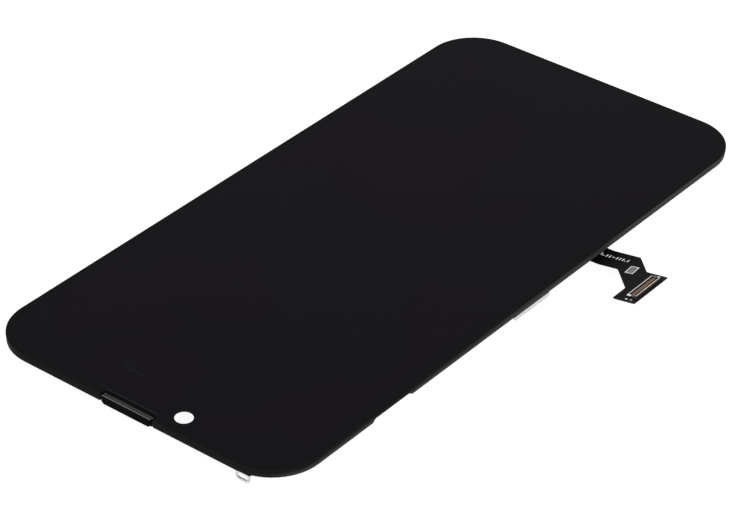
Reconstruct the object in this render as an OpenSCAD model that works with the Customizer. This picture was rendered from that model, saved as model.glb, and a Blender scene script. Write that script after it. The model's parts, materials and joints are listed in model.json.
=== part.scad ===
// Phone LCD screen assembly: cover glass, display cell, backlight, bezel with its steel catches,
// rear plate and the display flex with its board connector.
// Millimetres. Z is up, out of the glass. Y runs to the earpiece end. X = 0 and Y = 0 are the middle of the glass.
// Z = 0 is the flat rear face on which the assembly lies.

/* [Cover glass] */
// Width of the cover glass
glass_w = 69.2; // [66:0.1:74]
// Length of the cover glass
glass_l = 144; // [130:0.5:160]
// Thickness of the cover glass
glass_t = 0.7; // [0.6:0.05:1]
// Corner radius of the cover glass
glass_r = 10.3; // [8.5:0.1:12]
// Rounding of the upper edge of the glass
glass_edge = 0.22; // [0.1:0.02:0.3]
// Width of the earpiece notch in the edge of the glass
ear_notch_w = 12.3; // [9:0.1:16]
// Depth of the earpiece notch
ear_notch_d = 1.6; // [1.2:0.05:1.8]
// Corner radius at the bottom of the earpiece notch
ear_notch_r = 0.8; // [0.4:0.1:1.1]

/* [Display cell] */
// Optically clear adhesive between glass and cell
oca_t = 0.2; // [0.15:0.05:0.3]
// Thickness of each polariser
polariser_t = 0.12; // [0.08:0.01:0.2]
// Thickness of each of the two cell glasses
cell_glass_t = 0.25; // [0.2:0.05:0.4]
// From the edge of the cover glass to the edge of the cell, at the sides and the earpiece end
cell_border = 1.7; // [1.5:0.1:2.2]
// From the edge of the cover glass to the cell at the flex end
cell_foot_border = 1.9; // [1.8:0.1:2.4]
// Width of the contact ledge of the lower cell glass
cell_ledge = 1.7; // [1.5:0.1:2.4]
// Corner radius of the cell
cell_r = 8.4; // [6:0.1:9]
// Width of the sensor bay cut out of the cell
bay_w = 29; // [26:0.5:36]
// Depth of the sensor bay below the upper edge of the cell
bay_d = 8; // [7:0.1:9.5]
// Corner radius of the sensor bay
bay_r = 2; // [1.2:0.1:3]
// Length of the driver chip
chip_l = 17; // [12:0.5:22]
// Width of the driver chip
chip_w = 0.65; // [0.5:0.05:0.8]
// Height of the driver chip
chip_t = 0.2; // [0.15:0.05:0.25]

/* [Backlight] */
// From the edge of the cell to the edge of the backlight
backlight_inset = 0.65; // [0.5:0.05:1]
// Thickness of each film above the light guide
film_t = 0.12; // [0.08:0.01:0.16]
// Thickness of the light guide
guide_t = 0.46; // [0.4:0.02:0.7]
// Thickness of the reflector film
reflector_t = 0.1; // [0.06:0.01:0.15]
// Thickness of the black rim tape
rim_tape_t = 0.06; // [0.04:0.01:0.1]
// Sheet thickness of the steel tray
tray_t = 0.2; // [0.15:0.01:0.3]
// Width of the white plastic frame
light_frame_w = 0.75; // [0.6:0.05:1.2]
// Number of light-emitting diodes
led_count = 14; // [8:1:18]
// From the side of the backlight to the row of diodes
led_side = 8.45; // [8:0.05:12]
// Gap between two diodes
led_gap = 0.8; // [0.3:0.05:1]
// Depth of one diode package
led_d = 0.6; // [0.4:0.05:0.8]
// Clearance round each loose sheet
sheet_gap = 0.05; // [0.03:0.01:0.1]

/* [Bezel] */
// Bezel set in from the long edges of the glass
bezel_side = 0.1; // [0.05:0.05:0.4]
// Bezel set in from the short edges of the glass
bezel_end = 0.05; // [0.02:0.01:0.15]
// Thickness of the adhesive bead between glass and bezel
bead_t = 0.08; // [0.05:0.01:0.12]
// Height of the outer lip of the bezel
lip_h = 1.03; // [0.8:0.01:1.1]
// Draft of the lip, from its top edge out to its ridge
lip_draft = 0.1; // [0.05:0.01:0.15]
// Rounding under the ridge of the lip
lip_round = 0.3; // [0.2:0.02:0.4]
// Clearance between the bezel and the cell
cell_gap = 0.15; // [0.1:0.01:0.25]
// Wall of the bezel at the sensor bay and at the flex end
thin_wall = 0.6; // [0.5:0.05:0.7]
// Height of the ledge that carries the cell
ledge_h = 0.78; // [0.6:0.02:0.9]
// Wall of the ledge outside the cell pocket
ledge_wall = 0.25; // [0.2:0.01:0.4]
// Middle of the gap in the lip of one long side, from the middle of the glass
lip_gap_y = 41.35; // [35:0.05:50]
// Length of the gap in the lip at half its height
lip_gap_l = 10.6; // [6:0.1:16]
// Width of the raised earpiece wall
ear_wall_w = 11.3; // [8:0.1:15]
// How far the earpiece wall stands out of the edge of the glass
ear_wall_out = 0.1; // [0.05:0.01:0.3]
// How far the earpiece wall reaches below the lip
ear_wall_drop = 0.06; // [0.05:0.01:0.3]

/* [Rear plate] */
// Sheet thickness of the rear plate
plate_t = 0.25; // [0.2:0.01:0.35]
// Depth to which the field of the rear plate is pressed
plate_dish = 0.45; // [0.4:0.01:0.7]
// From the long edge of the glass to the flange of the rear plate
plate_side = 1.95; // [1.9:0.05:2.6]
// From the earpiece end of the glass to the rear plate
plate_head = 11.4; // [11:0.1:16]
// From the flex end of the glass to the rear plate
plate_foot = 2.7; // [2.5:0.1:4]
// Width of the flange of the rear plate
plate_flange = 1.4; // [1:0.1:2.5]
// Thickness of the graphite film let into the rear plate
graphite_t = 0.08; // [0.05:0.01:0.12]
// Bare steel margin round the graphite film
graphite_margin = 2.6; // [2:0.1:5]
// Radius of the two locating holes in the rear plate
locate_r = 1.1; // [0.8:0.1:1.5]
// From the edge of the pressed field to the middle of a locating hole
locate_inset = 2.6; // [2.2:0.1:4]

/* [Catches] */
// From the long edge of the glass to the middle of the latch loop
loop_edge = 8.6; // [8:0.05:14]
// Outer width of the latch loop
loop_w = 3.1; // [2.2:0.1:4]
// Width of the strip round the window of the loop
loop_strip = 0.45; // [0.3:0.05:0.7]
// Sheet thickness of the loop and the screw tabs
tab_t = 0.25; // [0.2:0.01:0.35]
// Length of a side latch plate
latch_l = 11.1; // [8:0.1:16]
// How far a side latch plate hangs below the lip
latch_drop = 0.79; // [0.5:0.05:1.1]
// Sheet thickness of the latch plates
latch_t = 0.2; // [0.15:0.01:0.25]
// From the long edge of the glass to a screw hole
screw_edge = 15.6; // [13.5:0.1:17]
// Width of a screw tab
screw_tab_w = 4.2; // [3:0.1:6]
// Radius of a screw hole
screw_r = 0.6; // [0.56:0.01:0.64]

/* [Display flex] */
// Thickness of the flexible circuit
flex_t = 0.12; // [0.08:0.01:0.16]
// Width of the flex where it is bonded to the cell
bond_w = 30; // [20:0.5:31]
// Width of the ribbon that leaves the assembly
ribbon_w = 5.55; // [4:0.05:8]
// Middle of the ribbon, from the middle of the glass
ribbon_y = -21.72; // [-30:0.1:-16]
// Height of the upper side of the ribbon below the lip
ribbon_gap = 0.14; // [0.12:0.01:0.3]
// From the edge of the glass to the bend line of the tail
tail_start = 1.14; // [0.9:0.01:2]
// Rise of the tail
tail_angle = 9.65; // [0:0.05:15]
// From the bend line to the neck
neck_at = 4.6; // [3:0.1:8]
// Sideways shift of the neck, which runs at 45 degrees
neck_shift = 5.4; // [3:0.1:7]
// Length of the foot along the long side of the assembly
foot_l = 10.95; // [10:0.05:14]
// Depth of the foot
foot_d = 4.85; // [4:0.05:7]
// Thickness of the stiffener under the foot
stiffener_t = 0.2; // [0.1:0.05:0.4]

/* [Connector] */
// Length of the connector
conn_l = 8.7; // [7:0.1:9.5]
// Width of the connector
conn_w = 2.1; // [1.9:0.05:2.6]
// Height of the connector
conn_h = 0.55; // [0.45:0.01:0.8]
// From the outer edge of the foot to the middle of the connector
conn_edge = 1.6; // [1.4:0.05:2.4]
// Number of contacts in each of the two rows
contact_count = 20; // [10:1:21]
// Distance from one contact to the next
contact_pitch = 0.35; // [0.3:0.01:0.36]
// Width of one contact
contact_wire = 0.17; // [0.12:0.01:0.2]

/* [Hidden] */
$fn = 64;
eps = 0.01;
big = 400;

// Small fixed sizes
glue_inset = 0.2;
film_inset = 0.3;
tape_lap = 0.5;
light_setback = 1.2;
ledge_setback = 1.1;
bay_wall_t = 0.5;
bond_gap = 0.5;
bead_inset = 0.15;
lip_depth = 1.6;
lip_slope = 0.6;
ear_face_t = 0.37;
ear_step_t = 0.33;
ear_drop = 0.2;
ear_step_drop = 0.4;
ear_cut = 0.45;
ear_floor_t = 0.2;
ear_floor_side = 1.8;
ear_floor_in = 1.6;
relief_top = 0.25;
relief_w = 0.6;
mesh_pitch = 0.5;
mesh_slot = 0.34;
mesh_lip = 0.1;
slot_l = 0.5;
felt_t = 0.3;
gap_roof = 0.32;
plate_r = 7;
dish_run = 0.35;
foam_inset = 0.3;
foam_head = 5;
graphite_head = 4;
field_r = 4;
tab_inset = 0.3;
tab_r = 0.7;
screw_z = 0.85;
fold_gap = 0.1;
exit_gap = 0.8;
bond_lap = 0.75;
bond_run = 8;
trunk_run = 14;
trunk_w = 12;
turn_r = 2;
s_angle = 50;
s_radius = 0.9;
tail_r = 10;
foot_ear = 4.15;
foot_shift = 0.2;
stiffener_inset = 0.15;
shell_t = 0.08;
shell_strip = 0.14;
shell_inset = 0.14;
shell_foot = 0.3;
conn_wall = 0.32;
conn_end = 0.55;
conn_island = 0.42;
contact_t = 0.06;
contact_tail = 0.25;
contact_lap = 0.12;

// Levels, from the rear face up
z_field = plate_t;
z_tray = plate_t + plate_dish;
z_reflector = z_tray + tray_t;
z_guide = z_reflector + reflector_t;
z_diffuser = z_guide + guide_t;
z_prism_1 = z_diffuser + film_t;
z_prism_2 = z_prism_1 + film_t;
z_rim = z_prism_2 + film_t;
z_rear_pol = z_rim + rim_tape_t;
z_tft = z_rear_pol + polariser_t;
z_cf = z_tft + cell_glass_t;
z_front_pol = z_cf + cell_glass_t;
z_oca = z_front_pol + polariser_t;
z_glass = z_oca + oca_t;
z_top = z_glass + glass_t;
z_bezel = z_glass - bead_t;
z_lip = z_bezel - lip_h;
z_ledge = z_tft - ledge_h;
z_ribbon = z_lip - ribbon_gap - flex_t / 2;
z_step = z_top - ear_step_drop;

// Outlines
cell_w = glass_w - 2 * cell_border;
cell_head = glass_l / 2 - cell_border;
cell_foot = -glass_l / 2 + cell_foot_border;
light_w = cell_w - 2 * backlight_inset;
light_foot = cell_foot + light_setback;
led_pitch = (light_w - 2 * led_side) / led_count;
bay_foot = cell_head - bay_d;
bezel_w = glass_w - 2 * bezel_side;
bezel_l = glass_l - 2 * bezel_end;
bezel_r = glass_r - bezel_side;
ledge_out = cell_w / 2 + cell_gap + ledge_wall;
ledge_head = cell_head + cell_gap + 2 * ledge_wall;
ledge_foot = -glass_l / 2 + ledge_setback;
wall_foot = -bezel_l / 2 + thin_wall + cell_gap;
plate_w = glass_w - 2 * plate_side;
plate_y1 = glass_l / 2 - plate_head;
plate_y0 = -glass_l / 2 + plate_foot;
led_y = light_foot + tray_t + 2 * sheet_gap + light_frame_w;
fold_r = (z_cf + flex_t - (z_tray - flex_t)) / 2;
fold_y = cell_foot - fold_gap;
exit_w = ribbon_w + 2 * exit_gap;
tab_y = bezel_l / 2 - tab_inset;
z_back = z_tray - flex_t / 2;
half_ribbon = ribbon_w / 2;
foot_x0 = neck_at + neck_shift;
foot_x1 = foot_x0 + foot_d;
foot_y0 = -half_ribbon - neck_shift - foot_ear;
foot_y1 = foot_y0 + foot_l;

// Corner i of a polygon cut back by r and joined with an arc
function corner(p, q, s, r, n) =
    let (a = (p - q) / norm(p - q),
        b = (s - q) / norm(s - q),
        half = acos(max(-1, min(1, a * b))) / 2,
        c = q + (a + b) / norm(a + b) * r / sin(half),
        u = q + a * r / tan(half) - c,
        v = q + b * r / tan(half) - c,
        turn = 180 - 2 * half)
    [for (k = [0:n]) c + (u * sin(turn * (1 - k / n)) + v * sin(turn * k / n)) / sin(turn)];

// Outline with each corner rounded by its own radius
function rounded(pts, radii, n = 5) =
    let (m = len(pts))
    [for (i = [0:m - 1])
        each (radii[i] == 0 ? [pts[i]] : corner(pts[(i + m - 1) % m], pts[i], pts[(i + 1) % m], radii[i], n))];

// Rounded rectangle from corner to corner
module plate2d(x0, y0, x1, y1, r) {
    translate([x0 + r, y0]) square([x1 - x0 - 2 * r, y1 - y0]);
    translate([x0, y0 + r]) square([x1 - x0, y1 - y0 - 2 * r]);
    for (x = [x0 + r, x1 - r], y = [y0 + r, y1 - r])
        translate([x, y]) circle(r);
}

// Sensor bay, open at the head, grown by g
module bay2d(g) {
    x = bay_w / 2 + g;
    plate2d(-x, bay_foot - g, x, big / 2, bay_r + g);
}

// Outline of the cell, set in by g and ending at the given foot
module cell2d(g, foot) {
    difference() {
        plate2d(-cell_w / 2 + g, foot, cell_w / 2 - g, cell_head - g, cell_r - g);
        bay2d(g);
    }
}

// Outline of a backlight sheet, set in by g from the outside of the tray
module light2d(g) {
    cell2d(backlight_inset + g, light_foot + g);
}

// Profile swept round a rounded rectangle: its x = 0 lies on the edge and its x < 0 points inwards
module rim(w, l, r) {
    for (sx = [-1, 1])
        translate([sx * (w / 2 - r), 0, 0]) {
            rotate([90, 0, sx > 0 ? 0 : 180]) linear_extrude(l - 2 * r, center = true)
                translate([r, 0]) children();
            for (sy = [-1, 1])
                translate([0, sy * (l / 2 - r), 0])
                    rotate([0, 0, sx > 0 ? (sy > 0 ? 0 : -90) : (sy > 0 ? 90 : 180)])
                        rotate_extrude(angle = 90) translate([r, 0]) children();
        }
    for (sy = [-1, 1])
        translate([0, sy * (l / 2 - r), 0])
            rotate([90, 0, sy > 0 ? 90 : -90]) linear_extrude(w - 2 * r, center = true)
                translate([r, 0]) children();
}

// Cover glass: rounded upper edge, small lower bevel, earpiece notch in the short edge
module cover_glass() {
    bevel = glass_edge / 2;
    color([0.09, 0.09, 0.1]) difference() {
        union() {
            rim(glass_w, glass_l, glass_r)
                polygon([[-glass_r, z_glass], [-bevel, z_glass], [0, z_glass + bevel],
                    for (a = [0:22.5:90]) [glass_edge * (cos(a) - 1), z_top + glass_edge * (sin(a) - 1)],
                    [-glass_r, z_top]]);
            translate([-glass_w / 2 + glass_r, -glass_l / 2 + glass_r, z_glass])
                cube([glass_w - 2 * glass_r, glass_l - 2 * glass_r, glass_t]);
        }
        translate([0, 0, z_glass - 1]) linear_extrude(glass_t + 2)
            plate2d(-ear_notch_w / 2, glass_l / 2 - ear_notch_d, ear_notch_w / 2, glass_l / 2 + 5, ear_notch_r);
    }
}

// Sheets between the cover glass and the light guide
module sheet(z, t, g, foot) {
    translate([0, 0, z]) linear_extrude(t) cell2d(g, foot);
}

module clear_adhesive() {
    color([0.85, 0.88, 0.9, 0.5]) sheet(z_oca, oca_t, glue_inset, cell_foot + cell_ledge + glue_inset);
}

module front_polariser() {
    color([0.12, 0.12, 0.14]) sheet(z_front_pol, polariser_t, film_inset, cell_foot + cell_ledge + film_inset);
}

module colour_filter_glass() {
    color([0.4, 0.45, 0.5]) sheet(z_cf, cell_glass_t, 0, cell_foot + cell_ledge);
}

module tft_glass() {
    color([0.45, 0.5, 0.52]) sheet(z_tft, cell_glass_t, 0, cell_foot);
}

module rear_polariser() {
    color([0.14, 0.14, 0.16]) sheet(z_rear_pol, polariser_t, backlight_inset + glue_inset, light_foot);
}

module driver_chip() {
    color([0.2, 0.2, 0.22])
        translate([-chip_l / 2, cell_foot + cell_ledge - fold_gap - chip_w, z_cf]) cube([chip_l, chip_w, chip_t]);
}

// Black tape that holds the cell down on the backlight
module rim_tape() {
    color([0.05, 0.05, 0.05]) translate([0, 0, z_rim]) linear_extrude(rim_tape_t) difference() {
        light2d(tray_t + sheet_gap);
        light2d(tray_t + sheet_gap + light_frame_w + tape_lap);
    }
}

// One loose sheet inside the white frame
module loose_sheet(z, t) {
    translate([0, 0, z]) linear_extrude(t) difference() {
        light2d(tray_t + 2 * sheet_gap + light_frame_w);
        translate([-glass_w, -glass_l]) square([2 * glass_w, glass_l + led_y + led_d + sheet_gap]);
    }
}

module upper_prism_film() {
    color([0.9, 0.92, 0.95]) loose_sheet(z_prism_2, film_t);
}

module lower_prism_film() {
    color([0.86, 0.9, 0.94]) loose_sheet(z_prism_1, film_t);
}

module diffuser_film() {
    color([0.95, 0.95, 0.95]) loose_sheet(z_diffuser, film_t);
}

module light_guide() {
    color([0.8, 0.9, 0.95]) loose_sheet(z_guide, guide_t);
}

module reflector_film() {
    color([0.93, 0.94, 0.95]) loose_sheet(z_reflector, reflector_t);
}

// White moulded frame round the light guide
module light_frame() {
    color([0.95, 0.95, 0.93]) translate([0, 0, z_reflector]) linear_extrude(z_rim - z_reflector) difference() {
        light2d(tray_t + sheet_gap);
        light2d(tray_t + sheet_gap + light_frame_w);
    }
}

// Narrow circuit strip under the diodes
module led_strip() {
    l = led_count * led_pitch;
    color([0.9, 0.85, 0.6]) translate([-l / 2, led_y, z_reflector]) cube([l, led_d, reflector_t]);
}

module leds() {
    led_l = led_pitch - led_gap;
    color([0.97, 0.93, 0.75])
        for (i = [0:led_count - 1])
            translate([(i - (led_count - 1) / 2) * led_pitch - led_l / 2, led_y + sheet_gap, z_guide])
                cube([led_l, led_d - sheet_gap, guide_t - sheet_gap]);
}

// Pressed steel tray: floor and upturned wall
module backlight_tray() {
    wall_h = z_diffuser - z_tray;
    color([0.72, 0.73, 0.74]) translate([0, 0, z_tray]) difference() {
        linear_extrude(wall_h) light2d(0);
        translate([0, 0, tray_t]) linear_extrude(wall_h) light2d(tray_t);
    }
}

// Adhesive bead between the cover glass and the bezel
module glass_bead() {
    inset = bead_inset;
    color([0.1, 0.1, 0.1]) translate([0, 0, z_bezel]) linear_extrude(bead_t) difference() {
        plate2d(-bezel_w / 2 + inset, -bezel_l / 2 + inset, bezel_w / 2 - inset, bezel_l / 2 - inset,
            bezel_r - inset);
        plate2d(-cell_w / 2 - cell_gap, wall_foot, cell_w / 2 + cell_gap, cell_head + cell_gap, cell_r);
        translate([-ear_notch_w / 2 - glue_inset, cell_head]) square([ear_notch_w + 2 * glue_inset, glass_l]);
    }
}

// Section of the outer lip: drafted face, ridge, rounded underside
module lip_section() {
    ridge = z_lip + lip_round;
    polygon([[-lip_depth, z_lip], [-lip_round, z_lip],
        for (a = [-75:25:0]) [lip_round * (cos(a) - 1), ridge + lip_round * sin(a)],
        [-lip_draft * 0.6, ridge + lip_draft * 1.2],
        [-lip_draft, z_bezel], [-lip_depth, z_bezel]]);
}

// Bezel: lip, cell pocket with its ledge, sensor bay, earpiece wall, lip gap and flex exit
module bezel_frame() {
    color([0.12, 0.12, 0.13]) difference() {
        union() {
            difference() {
                rim(bezel_w, bezel_l, bezel_r) lip_section();
                translate([0, 0, z_lip - 1]) linear_extrude(lip_h + 2) bezel_pocket2d();
            }
            bezel_ledge();
            bay_wall();
            ear_wall();
        }
        lip_gap();
        flex_exit();
        ear_relief();
    }
}

// Pocket that takes the cell, widened at the sensor bay and at the flex fold
module bezel_pocket2d() {
    plate2d(-cell_w / 2 - cell_gap, cell_foot - cell_gap, cell_w / 2 + cell_gap, cell_head + cell_gap,
        cell_r + cell_gap);
    plate2d(-bay_w / 2 + 1, 0, bay_w / 2 - 1, bezel_l / 2 - thin_wall, 1);
    plate2d(-bond_w / 2 - bond_gap, wall_foot, bond_w / 2 + bond_gap, 0, lip_round);
}

// Ledge under the edge of the cell
module bezel_ledge() {
    translate([0, 0, z_ledge]) linear_extrude(z_tft - z_ledge) difference() {
        plate2d(-ledge_out, ledge_foot, ledge_out, ledge_head, cell_r + cell_gap + ledge_wall);
        light2d(-2 * sheet_gap);
        translate([-bay_w / 2 - bay_wall_t, 0]) square([bay_w + 2 * bay_wall_t, glass_l]);
        translate([-bond_w / 2 - bond_gap, -glass_l]) square([bond_w + 2 * bond_gap, glass_l + light_foot]);
    }
}

// Wall round the sensor bay
module bay_wall() {
    translate([0, 0, z_lip]) linear_extrude(lip_h) intersection() {
        difference() {
            bay2d(-cell_gap);
            bay2d(-cell_gap - bay_wall_t);
        }
        translate([-bay_w, 0]) square([2 * bay_w, bezel_l / 2 - thin_wall / 2]);
    }
}

// Earpiece wall, its inner step that carries the mesh, and the floor with the sound slot
module ear_wall() {
    out_y = glass_l / 2 + ear_wall_out;
    step_y = out_y - ear_face_t;
    in_y = step_y - ear_step_t;
    half = ear_wall_w / 2;
    low = z_lip - ear_wall_drop;
    top = z_top - ear_drop;
    grille = [half - thin_wall, 0.7];
    translate([0, out_y, 0]) rotate([90, 0, 0]) linear_extrude(ear_face_t)
        polygon(rounded([[-half, top], [-half, low + ear_cut], [-half + ear_cut, low],
            [half - ear_cut, low], [half, low + ear_cut], [half, top]], [0.15, 0, 0.25, 0.25, 0, 0.15]));
    translate([-half, in_y, z_lip]) cube([ear_wall_w, ear_step_t + eps, z_step - z_lip]);
    translate([0, 0, z_lip]) linear_extrude(ear_floor_t) difference() {
        translate([-half - ear_floor_side, cell_head - ear_floor_in])
            square([ear_wall_w + 2 * ear_floor_side, in_y - cell_head + ear_floor_in + eps]);
        plate2d(-grille.x, cell_head - grille.y / 3, grille.x, cell_head + grille.y * 2 / 3, grille.y / 3);
    }
}

// Two small reliefs in the lip, one each side of the earpiece wall
module ear_relief() {
    half = ear_wall_w / 2;
    for (s = [-1, 1])
        translate([s * (half + sheet_gap), glass_l / 2 + thin_wall, z_lip]) rotate([90, 0, 0])
            linear_extrude(2.2 * thin_wall) polygon([[-s * sheet_gap, lip_h / 2], [s * relief_top, lip_h / 2],
                [s * relief_w, -eps], [s * relief_w, -lip_h], [-s * sheet_gap, -lip_h]]);
}

// Gap in the lip of the long side that carries the tail, with sloping ends
module lip_gap() {
    half = lip_gap_l / 2;
    wide = half + lip_slope;
    narrow = half - lip_slope;
    roof = z_bezel - gap_roof;
    translate([-ledge_out, lip_gap_y, 0]) rotate([90, 0, -90]) linear_extrude(glass_w / 2)
        polygon([[-wide, z_lip - lip_h], [-wide, z_lip], [-narrow, roof], [narrow, roof], [wide, z_lip],
            [wide, z_lip - lip_h]]);
}

// Slot under the lip through which the ribbon leaves
module flex_exit() {
    translate([-glass_w / 2, ribbon_y - exit_w / 2, z_ledge - 1])
        cube([glass_w / 4, exit_w, z_lip - z_ledge + 1]);
}

// Steel mesh in the earpiece notch: a strip on the step of the earpiece wall, slotted along its free side
module earpiece_mesh() {
    w = ear_wall_w - 2 * sheet_gap;
    y0 = glass_l / 2 - ear_notch_d + mesh_lip;
    y1 = glass_l / 2 + ear_wall_out - ear_face_t - sheet_gap;
    n = floor((w - thin_wall) / mesh_pitch);
    color([0.5, 0.5, 0.52]) translate([0, 0, z_step]) linear_extrude(film_t) difference() {
        translate([-w / 2, y0]) square([w, y1 - y0]);
        for (i = [0:n])
            translate([(i - n / 2) * mesh_pitch - mesh_slot / 2, y0 + mesh_lip]) square([mesh_slot, slot_l]);
    }
}

// Felt that closes the sound slot of the bezel against dust
module dust_felt() {
    w = ear_wall_w + 4 * thin_wall;
    y0 = cell_head - ear_floor_in + sheet_gap;
    y1 = bezel_l / 2 - thin_wall - sheet_gap;
    color([0.1, 0.1, 0.1]) translate([-w / 2, y0, z_lip + ear_floor_t]) cube([w, y1 - y0, felt_t]);
}

// Rear plate: flange against the tray, field pressed down, cut-outs for the flex and two locating holes
module rear_plate() {
    l = plate_y1 - plate_y0;
    mid = (plate_y1 + plate_y0) / 2;
    f = plate_flange;
    field = f + 2 * dish_run;
    color([0.66, 0.67, 0.68]) difference() {
        translate([0, mid, 0]) {
            rim(plate_w, l, plate_r)
                polygon([[0, z_tray], [-f - dish_run, z_tray], [-field, plate_t], [-plate_r, plate_t],
                    [-plate_r, 0], [-f - dish_run, 0], [-f, z_tray - plate_t], [0, z_tray - plate_t]]);
            translate([-plate_w / 2 + plate_r, -l / 2 + plate_r, 0])
                cube([plate_w - 2 * plate_r, l - 2 * plate_r, plate_t]);
        }
        graphite_pocket();
        translate([-plate_w, ribbon_y - exit_w / 2, plate_t]) cube([plate_w / 2 + field, exit_w, z_tray]);
        translate([-bond_w / 2 - bond_gap, plate_y0 - plate_r, plate_t])
            cube([bond_w + 2 * bond_gap, plate_r + field, z_tray]);
        for (s = [-1, 1])
            translate([s * plate_w / 3, plate_y1 - f - locate_inset, -plate_t])
                cylinder(r = locate_r, h = 3 * plate_t);
    }
}

module graphite2d(g) {
    m = plate_flange + dish_run + graphite_margin + g;
    plate2d(-plate_w / 2 + m, plate_y0 + m, plate_w / 2 - m, plate_y1 - m - graphite_head, field_r);
}

module graphite_pocket() {
    translate([0, 0, -plate_t]) linear_extrude(plate_t + graphite_t) graphite2d(-sheet_gap);
}

module graphite_film() {
    color([0.16, 0.16, 0.17]) linear_extrude(graphite_t) graphite2d(0);
}

// Foam sheet that presses the flex and the tray off the rear plate
module rear_foam() {
    m = plate_flange + 2 * dish_run + foam_inset;
    color([0.2, 0.2, 0.2]) translate([0, 0, plate_t]) linear_extrude(z_tray - flex_t - plate_t)
        plate2d(-plate_w / 2 + m, plate_y0 + m, plate_w / 2 - m, plate_y1 - m - foam_head, field_r);
}

// Upright leaf in the XZ plane with its foot under the lip, bent from sheet
module bent_tab(w, t, depth) {
    translate([-w / 2, -depth, z_lip - t]) cube([w, depth, t]);
    rotate([90, 0, 0]) linear_extrude(t) children();
}

// Latch loop: upright leaf with a window
module latch_loop() {
    half = loop_w / 2;
    s = loop_strip;
    window_top = z_lip - tab_t;
    color([0.75, 0.75, 0.76]) translate([loop_edge - glass_w / 2, tab_y, 0])
        bent_tab(loop_w, tab_t, tab_y - ledge_head) difference() {
            polygon(rounded([[-half, z_lip], [-half, 0], [half, 0], [half, z_lip]], [0, tab_r, tab_r, 0]));
            polygon(rounded([[-half + s, window_top], [-half + s, s], [half - s, s], [half - s, window_top]],
                [0, tab_r / 2, tab_r / 2, 0]));
        }
}

// Side latch plate: upright leaf with rounded lower corners
module latch_plate() {
    half = latch_l / 2;
    low = z_lip - latch_drop;
    x = bezel_w / 2 - sheet_gap;
    color([0.8, 0.79, 0.78]) rotate([0, 0, -90]) translate([0, x, 0])
        bent_tab(latch_l, latch_t, x - ledge_out)
            polygon(rounded([[-half, z_lip], [-half, low], [half, low], [half, z_lip]], [0, tab_r, tab_r, 0]));
}

module latch_plate_right() {
    latch_plate();
}

module latch_plate_left() {
    mirror([1, 0, 0]) latch_plate();
}

// Screw tab at the flex end: upright leaf with one hole
module screw_tab() {
    half = screw_tab_w / 2;
    color([0.75, 0.75, 0.76]) rotate([0, 0, 180]) translate([0, tab_y, 0]) difference() {
        bent_tab(screw_tab_w, tab_t, tab_y + ledge_foot)
            polygon(rounded([[-half, z_lip], [-half, 0], [half, 0], [half, z_lip]], [0, tab_r, tab_r, 0]));
        translate([0, tab_t, screw_z]) rotate([90, 0, 0]) cylinder(r = screw_r, h = 3 * tab_t);
    }
}

module screw_tab_left() {
    translate([screw_edge - glass_w / 2, 0, 0]) screw_tab();
}

module screw_tab_right() {
    translate([glass_w / 2 - screw_edge, 0, 0]) screw_tab();
}

// Straight stretch of ribbon along +X; what follows starts at its end
module run(l) {
    translate([-eps, -ribbon_w / 2, -flex_t / 2]) cube([l + 2 * eps, ribbon_w, flex_t]);
    translate([l, 0, 0]) children();
}

// Bend of the ribbon through angle a, up for d = 1 and down for d = -1
module bend(r, a, d) {
    mirror([0, 0, d > 0 ? 0 : 1]) translate([0, 0, r]) rotate([90, 0, 0]) rotate([0, 0, -90])
        rotate_extrude(angle = a) translate([r - flex_t / 2, -ribbon_w / 2]) square([flex_t, ribbon_w]);
    translate([r * sin(a), 0, d * r * (1 - cos(a))]) rotate([0, -d * a, 0]) children();
}

// Neck and foot of the tail, in the plane of the tail
module tail2d(start) {
    far_x = foot_x0 + foot_shift;
    radii = [0, 0.8, 0.25, 0.2, 0.2, 0.2, 0.5, 1, 0];
    polygon(rounded([[start, -half_ribbon], [neck_at, -half_ribbon], [foot_x0, -half_ribbon - neck_shift],
        [foot_x0, foot_y0], [foot_x1, foot_y0], [foot_x1, foot_y1], [far_x, foot_y1],
        [far_x - half_ribbon + foot_y1, half_ribbon], [start, half_ribbon]], radii));
}

// Part of the flex that lies on the rear of the tray
module back_flex2d(x_end) {
    half = bond_w / 2;
    trunk = trunk_w / 2;
    y0 = ribbon_y - half_ribbon;
    y1 = ribbon_y + half_ribbon;
    polygon(rounded([[half, fold_y], [half, fold_y + bond_run], [trunk, fold_y + trunk_run], [trunk, y1],
        [x_end, y1], [x_end, y0], [-trunk, y0], [-trunk, fold_y + trunk_run], [-half, fold_y + bond_run],
        [-half, fold_y]], turn_r * [0, 1, 1, 1, 0, 0, 1, 1, 1, 0]));
}

// Places what is drawn in the plane of the tail, whose x = 0 is the bend line
module on_tail() {
    translate([-glass_w / 2 - tail_start, ribbon_y, z_ribbon]) rotate([0, 0, 180])
        rotate([0, -tail_angle, 0]) children();
}

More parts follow.
